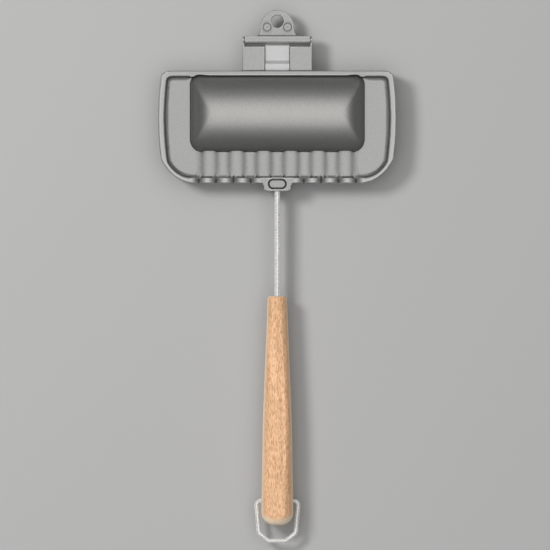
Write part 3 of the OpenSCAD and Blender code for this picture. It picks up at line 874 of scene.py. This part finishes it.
# %% Drawn group
drawn, drawn_in, drawn_out = new_group(
    "drawn_grain", [("Across", 1500.0), ("Along", 40.0), ("Depth", 0.5)], BOTH_OUT)
parts = parts_of(drawn, "Object", (-900, -300))
stretched = put(drawn, "ShaderNodeCombineXYZ", (-300, -200))
for axis, scale in (("X", "Across"), ("Y", "Along"), ("Z", "Across")):
    join(drawn, math_node(drawn, "MULTIPLY", parts[axis], drawn_in.outputs[scale], (-500, -200)),
         stretched.inputs[axis])
lines = put(drawn, "ShaderNodeTexNoise", (-100, 0), Scale=1.0, Detail=3.0, Roughness=0.6)
join(drawn, stretched.outputs[0], lines.inputs["Vector"])
centred = math_node(drawn, "SUBTRACT", lines.outputs["Fac"], 0.5, (100, 0))
scaled = math_node(drawn, "MULTIPLY", centred, drawn_in.outputs["Depth"], (280, 0))
join(drawn, math_node(drawn, "ADD", scaled, 1.0, (460, 0)), drawn_out.inputs["Value"])
join(drawn, lines.outputs["Fac"], drawn_out.inputs["Height"])


# %% [markdown]
# ## The finishes
# Every finish ends in a Principled shader, which covers metal, coat and wood
# alike. What changes over the surface is worked out before it, and what stays
# the same is set on its own sockets.

# %% A material with a Principled shader at its end
def new_material(name):
    material = bpy.data.materials.new(name)
    material.use_nodes = True
    tree = material.node_tree
    tree.nodes.clear()
    shader = put(tree, "ShaderNodeBsdfPrincipled", (600, 0))
    output = put(tree, "ShaderNodeOutputMaterial", (900, 0))
    join(tree, shader.outputs[0], output.inputs["Surface"])
    print("material:", name)
    return material, tree, shader


def place_group(tree, group, at, **values):
    node = put(tree, "ShaderNodeGroup", at)
    node.node_tree = group
    for name, value in values.items():
        node.inputs[name.replace("_", " ")].default_value = value
    return node


def add_bump(tree, shader, height, distance, strength):
    bump = put(tree, "ShaderNodeBump", (350, -300), Strength=strength, Distance=distance)
    join(tree, height, bump.inputs["Height"])
    join(tree, bump.outputs["Normal"], shader.inputs["Normal"])


def scaled_colour(tree, shader, colour, factor, at):
    """Feeds Base Color with a colour, value or socket, multiplied by a factor."""
    scale = put(tree, "ShaderNodeVectorMath", at, operation="SCALE")
    if isinstance(colour, tuple):
        scale.inputs[0].default_value = colour
    else:
        join(tree, colour, scale.inputs[0])
    join(tree, factor, scale.inputs["Scale"])
    join(tree, scale.outputs[0], shader.inputs["Base Color"])


# %% [markdown]
# The coat on the pans is a satin grey with metal in it. Four things change it
# from place to place. Edges get a painted highlight and corners painted shade,
# from the measure kept on the points. The crest of the dome is painted a little
# warmer and lighter, a painted highlight. Painted shade darkens the gap before
# the barrel, and a painted highlight brightens the barrel along its top.

# %% Where the coat differs
# Painted light on the coat: the edge range gives a painted highlight, the corner range and depth
# give painted shade, the gap value gives painted shade before the barrel, and the barrel value
# gives a painted highlight on its top.
EDGE_LIGHT_RANGE, CORNER_SHADE_RANGE = (0.015, 0.10), (-0.075, -0.006)
CORNER_SHADE_DEPTH, GAP_SHADE, BARREL_LIGHT = -0.82, -0.62, 1.1
CREST_FROM, CREST_TO = 16.5, 19.0       # distance from the parting plane
GAP_Y, GAP_HALF, GAP_TOP = 50.0, (1.15, 0.75), (1.6, 0.6)
BARREL_Y, BARREL_TOP, BARREL_HALF = 52.1, (1.3, 0.4), (23.6, 23.2)


def off_place(tree, source, place, at):
    """How far a coordinate lies from a place in mm."""
    off = math_node(tree, "SUBTRACT", source, place * MM, at)
    return math_node(tree, "ABSOLUTE", off, at=(at[0] + 150, at[1]))


def painted_edge_light_and_shade(tree, edge_light_gain):
    """What the kept measure adds: a painted highlight, more than 0, at edges, and painted shade,
    less than 0, in corners.
    """
    kept = put(tree, "ShaderNodeAttribute", (-700, 300), attribute_name="edge_light_corner_shade")
    edge = passage(tree, kept.outputs["Fac"], (*EDGE_LIGHT_RANGE, 0.0, edge_light_gain), (-450, 300))
    corner = passage(tree, kept.outputs["Fac"], (*CORNER_SHADE_RANGE, CORNER_SHADE_DEPTH, 0.0), (-450, 550))
    return math_node(tree, "ADD", edge, corner, (-250, 350))


def gap_shade_and_barrel_light(tree, parts, value):
    """The value with painted shade in the gap and a painted highlight along the barrel."""
    # Painted shade: the coat darkened in the gap before the barrel.
    in_gap = reaching(tree, off_place(tree, parts["Y"], GAP_Y, (-1100, 700)),
                      *GAP_HALF, (-750, 700))
    low = reaching(tree, parts["Z"], *(PARTING + up for up in GAP_TOP), (-750, 550))
    gap_shade_mask = math_node(tree, "MULTIPLY", in_gap, low, (-550, 650))
    gap_shade_factor = math_node(tree, "MULTIPLY_ADD", gap_shade_mask, GAP_SHADE, (-350, 650), plus=1.0)
    # Painted highlight: the coat brightened along the top of the barrel, between its ears.
    on_top = reaching(tree, off_place(tree, parts["Y"], BARREL_Y, (-1100, 400)),
                      *BARREL_TOP, (-750, 400))
    between = reaching(tree, off_place(tree, parts["X"], 0.0, (-1100, 250)),
                       *BARREL_HALF, (-750, 250))
    turned = math_node(tree, "MULTIPLY", on_top, between, (-650, 350))
    barrel_light_factor = math_node(tree, "MULTIPLY_ADD", turned, BARREL_LIGHT, (-550, 400), plus=1.0)
    value = math_node(tree, "MULTIPLY", value, gap_shade_factor, (-50, 300))
    return math_node(tree, "MULTIPLY", value, barrel_light_factor, (0, 400))


# %% [markdown]
# The grain of the sprayed coat breaks up its colour, its roughness and its
# height alike. The plugs wear the same coat, and as they are small and lie
# flush, their edges get no painted highlight.

# %% Satin cast coat
COAT_COLOUR = (0.34, 0.34, 0.334)
# The crest of the dome is painted warmer and lighter by this tint, a painted highlight.
CREST_LIGHT_TINT = (1.15, 1.12, 1.09)
COAT_ROUGH, COAT_ROUGH_SPECKS = 0.34, 0.12


def coat(name, edge_light_gain):
    material, tree, shader = new_material(name)
    specks = place_group(tree, speckle, (-500, 0),
                         Grain_Scale=1500.0, Cloud_Scale=22.0, Grain=0.7, Cloud=0.10)
    # Painted highlight on the edges and painted shade in the corners.
    value = math_node(tree, "ADD", specks.outputs["Value"], painted_edge_light_and_shade(tree, edge_light_gain), (-150, 100))
    parts = parts_of(tree, "Object", (-1500, 900))
    # Painted shade in the gap and a painted highlight along the barrel.
    value = gap_shade_and_barrel_light(tree, parts, value)
    # A painted highlight: the crest of the dome painted warmer and lighter.
    crest = reaching(tree, off_place(tree, parts["Z"], PARTING, (-1100, 1000)),
                     CREST_FROM, CREST_TO, (-750, 1000))
    crest_lit_colour = tuple(c * gain for c, gain in zip(COAT_COLOUR, CREST_LIGHT_TINT))
    colour = mixed(tree, crest, COAT_COLOUR, crest_lit_colour, (-50, 600))
    scaled_colour(tree, shader, colour, value, (150, 100))
    rough = math_node(tree, "MULTIPLY_ADD", specks.outputs["Value"], COAT_ROUGH_SPECKS,
                      (100, -100), plus=COAT_ROUGH)
    join(tree, rough, shader.inputs["Roughness"])
    shader.inputs["Metallic"].default_value = 0.9
    shader.inputs["Specular IOR Level"].default_value = 0.5
    add_bump(tree, shader, specks.outputs["Height"], distance=0.06 * MM, strength=0.35)
    return material


coat_on_pans = coat("satin_coat", 0.7)
coat_on_plugs = coat("plug_coat", 0.0)
for pan in (lower_pan, upper_pan):
    pan.data.materials.append(coat_on_pans)
for name in ("oval_lower_plug", "oval_upper_plug"):
    bpy.data.objects[name].data.materials.append(coat_on_plugs)


# %% [markdown]
# The steel is bright plated wire: nearly white, broken up by fine drawn lines
# and by mottled spots in the plating. Its crown, which lies upwards, is painted
# greyer than its sides as painted shade, so the tone follows the way the surface
# turns. The strip and the pin are plain rolled steel without that.

# %% Bright steel
CROWN_SLOPE = (0.70, 0.94)      # upward part of the normal, from the sides to the crown


def steel(name, colour, crown_shade, metallic, roughness, depth, mottle, across=1800.0, along=60.0):
    material, tree, shader = new_material(name)
    drawing = place_group(tree, drawn, (-500, 0), Across=across, Along=along, Depth=depth)
    spots = place_group(tree, speckle, (-500, -300),
                        Grain_Scale=900.0, Cloud_Scale=120.0, Grain=mottle, Cloud=0.15)
    value = math_node(tree, "MULTIPLY", drawing.outputs["Value"], spots.outputs["Value"], (-200, 0))
    turned = parts_of(tree, "Normal", (-1100, 300))
    upward = math_node(tree, "ABSOLUTE", turned["Z"], at=(-700, 300))
    # Painted shade: the upward crown painted greyer than the sides.
    crown_shaded = passage(tree, upward, (*CROWN_SLOPE, 1.0, crown_shade), (-500, 300))
    value = math_node(tree, "MULTIPLY", value, crown_shaded, (-50, 150))
    scaled_colour(tree, shader, colour, value, (100, 100))
    rough = math_node(tree, "MULTIPLY", spots.outputs["Value"], roughness, (100, -100))
    join(tree, rough, shader.inputs["Roughness"])
    shader.inputs["Metallic"].default_value = metallic
    add_bump(tree, shader, drawing.outputs["Height"], distance=0.03 * MM, strength=0.4)
    return material


wire_steel = steel("drawn_wire", (1.0, 0.99, 0.97), crown_shade=0.66, metallic=0.45,
                   roughness=0.36, depth=0.35, mottle=1.1)
strip_steel = steel("rolled_strip", (0.475, 0.475, 0.478), crown_shade=1.0, metallic=0.65,
                    roughness=0.44, depth=0.12, mottle=0.1, across=900.0, along=900.0)
for name in ("drawn_lower_rod", "drawn_upper_rod", "bent_ring"):
    bpy.data.objects[name].data.materials.append(wire_steel)
for piece in (spring, pin):
    piece.data.materials.append(strip_steel)


# %% [markdown]
# Beech is pink-tan with short dark flecks along the grain. At the edges and
# round the end it is painted paler, a painted highlight where light catches it.
# So two masks paint it pale: one follows the way the surface turns, and
# one is a band that runs round the end of the grip. The flecks fray the inner
# border of both, and they fade where the highlight is painted.

# %% Where the wood is painted lighter
END_FROM, END_TO = 9.0, 4.5             # the band, measured from the grip's end
END_CURVE, FRAY = 36.0, 6.0
LIT_SLOPE, LIT_MOST = (0.86, 0.52), 0.8


def noise_along(tree, coords, scale, turn, at, **settings):
    """A noise stretched by its own scale for each axis."""
    mapping = put(tree, "ShaderNodeMapping", at)
    mapping.inputs["Scale"].default_value = scale
    mapping.inputs["Rotation"].default_value = (0, 0, math.radians(turn))
    noise = put(tree, "ShaderNodeTexNoise", (at[0] + 200, at[1]), Scale=1.0, **settings)
    join(tree, coords, mapping.inputs[0])
    join(tree, mapping.outputs[0], noise.inputs["Vector"])
    return noise.outputs["Fac"]


def painted_wood_light(tree, fleck):
    # Painted highlight along the sides, where the surface turns from the top, and in a band round
    # the end.
    turned = parts_of(tree, "Normal", (-1300, -500))
    upright = math_node(tree, "ABSOLUTE", turned["Z"], at=(-1000, -500))
    upward = math_node(tree, "MULTIPLY_ADD", fleck, 0.5, (-850, -500), plus=upright)
    side_light = passage(tree, upward, (*LIT_SLOPE, 0.0, LIT_MOST), (-700, -500))
    place = parts_of(tree, "Object", (-1300, -750))
    frayed = math_node(tree, "MULTIPLY_ADD", fleck, FRAY * MM, (-900, -750), plus=place["Y"])
    sideways = math_node(tree, "MULTIPLY", place["X"], place["X"], (-1000, -900))
    sideways = math_node(tree, "MULTIPLY", sideways, END_CURVE, (-900, -900))
    rounded = math_node(tree, "SUBTRACT", frayed, sideways, (-800, -850))
    grip_end = -(GRIP_START + GRIP_LENGTH)
    end_light = reaching(tree, rounded, grip_end + END_FROM, grip_end + END_TO, (-700, -750))
    return math_node(tree, "MAXIMUM", side_light, end_light, (-450, -600))


# %% [markdown]
# The wood has a slow change of tone and the flecks, both stretched along Y,
# the way the grain runs. The flecks lie a few degrees askew, as a blank is
# never sawn quite along the grain.

# %% Beech
SLOW_TONES = ((0.3, (0.66, 0.41, 0.23)), (0.72, (0.98, 0.60, 0.36)))
FLECK_TONES = ((0.34, (0.68, 0.59, 0.51)), (0.54, (1.0, 1.0, 1.0)), (0.68, (1.08, 1.10, 1.12)))
LIT_BEECH = (1.0, 0.84, 0.64)
FLECKS_LOST_IN_LIGHT = 0.6                       # how much of the flecks the painted highlight takes away


def beech_wood(name):
    material, tree, shader = new_material(name)
    coords = put(tree, "ShaderNodeTexCoord", (-1500, 0)).outputs["Object"]
    slow = noise_along(tree, coords, (130, 14, 130), 0, (-1300, 200),
                       Detail=4.0, Roughness=0.55, Distortion=0.6)
    fleck = noise_along(tree, coords, (1500, 300, 1500), 3, (-1300, -200),
                        Detail=2.0, Roughness=0.5, Distortion=0.4)
    tone = colour_ramp(tree, slow, SLOW_TONES, (-850, 200))
    flecks = colour_ramp(tree, fleck, FLECK_TONES, (-850, -200))
    # Painted highlight on the sides and round the end of the grip.
    lit_mask = painted_wood_light(tree, fleck)
    tone = mixed(tree, lit_mask, tone, LIT_BEECH, (-400, 100))
    fainter = math_node(tree, "MULTIPLY_ADD", lit_mask, -FLECKS_LOST_IN_LIGHT, (-300, -300), plus=1.0)
    wood = mixed(tree, fainter, tone, flecks, (-200, 50), blend="MULTIPLY")
    join(tree, wood, shader.inputs["Base Color"])
    shader.inputs["Roughness"].default_value = 0.62
    shader.inputs["Specular IOR Level"].default_value = 0.35
    add_bump(tree, shader, fleck, distance=0.12 * MM, strength=0.35)
    return material


beech = beech_wood("beech")
for name in ("beech_lower_grip", "beech_upper_grip"):
    bpy.data.objects[name].data.materials.append(beech)


# %% [markdown]
# ## Floor and light
# The floor is plain, pale and dull, so that nothing on it draws the eye from
# the part.

# %% Floor
bpy.ops.object.select_all(action="DESELECT")
bpy.ops.mesh.primitive_plane_add(size=12, location=(0, 0, 0))
floor = bpy.context.object
floor.name = "floor"
floor_material, tree, shader = new_material("floor_paint")
shader.inputs["Base Color"].default_value = (0.44, 0.44, 0.437, 1)
shader.inputs["Roughness"].default_value = 0.9
shader.inputs["Specular IOR Level"].default_value = 0.1
floor.data.materials.append(floor_material)


# %% [markdown]
# One soft box stands overhead to the left and gives the soft shadow. It isn't
# seen in the metal, where it would make a hard spot. The metal mirrors the
# world instead, which is bright above and darker towards the horizon, and so
# gets its bright crest and its dark flanks.

# %% Soft box
bpy.context.scene.view_settings.view_transform = "Standard"

KEY_PLACE = (-1.0, 0.5, 1.7)
key_light = bpy.data.lights.new("key_box", "AREA")
key_light.shape, key_light.size, key_light.energy = "DISK", 0.55, 21
key_box = bpy.data.objects.new("key_box", key_light)
bpy.context.scene.collection.objects.link(key_box)
key_box.location = KEY_PLACE
key_box.visible_glossy = False
aim = Vector((0, -0.1, 0)) - Vector(KEY_PLACE)
key_box.rotation_euler = aim.to_track_quat("-Z", "Y").to_euler()
print("soft box:", key_light.size, "m wide,", key_light.energy, "W")


# %% [markdown]
# The world is a ramp from the horizon to straight overhead. Beyond the floor
# the camera sees a plain pale grey instead, which lights nothing.

# %% Sky
SKY_TONES = ((0.0, (0.06,) * 3), (0.66, (0.145,) * 3), (0.985, (1.75,) * 3))
SEEN_COLOUR = (0.60, 0.60, 0.597)       # what the camera sees beyond the floor
world = bpy.data.worlds.new("studio")
bpy.context.scene.world = world
world.use_nodes = True
sky = world.node_tree
sky.nodes.clear()
direction = put(sky, "ShaderNodeTexCoord", (-800, 0))
overhead = put(sky, "ShaderNodeVectorMath", (-600, 0), operation="DOT_PRODUCT")
overhead.inputs[1].default_value = Vector((0.0, 0.03, 1)).normalized()
join(sky, direction.outputs["Generated"], overhead.inputs[0])
shade = colour_ramp(sky, overhead.outputs["Value"], SKY_TONES, (-400, 0), "EASE")
rays = put(sky, "ShaderNodeLightPath", (-700, 400))
seen = mixed(sky, rays.outputs["Is Camera Ray"], shade, SEEN_COLOUR, (-300, 150))
background = put(sky, "ShaderNodeBackground", (-100, 0), Strength=1.0)
join(sky, seen, background.inputs[0])
output = put(sky, "ShaderNodeOutputWorld", (100, 0))
join(sky, background.outputs[0], output.inputs[0])
print("sky:", [position for position, _ in SKY_TONES])
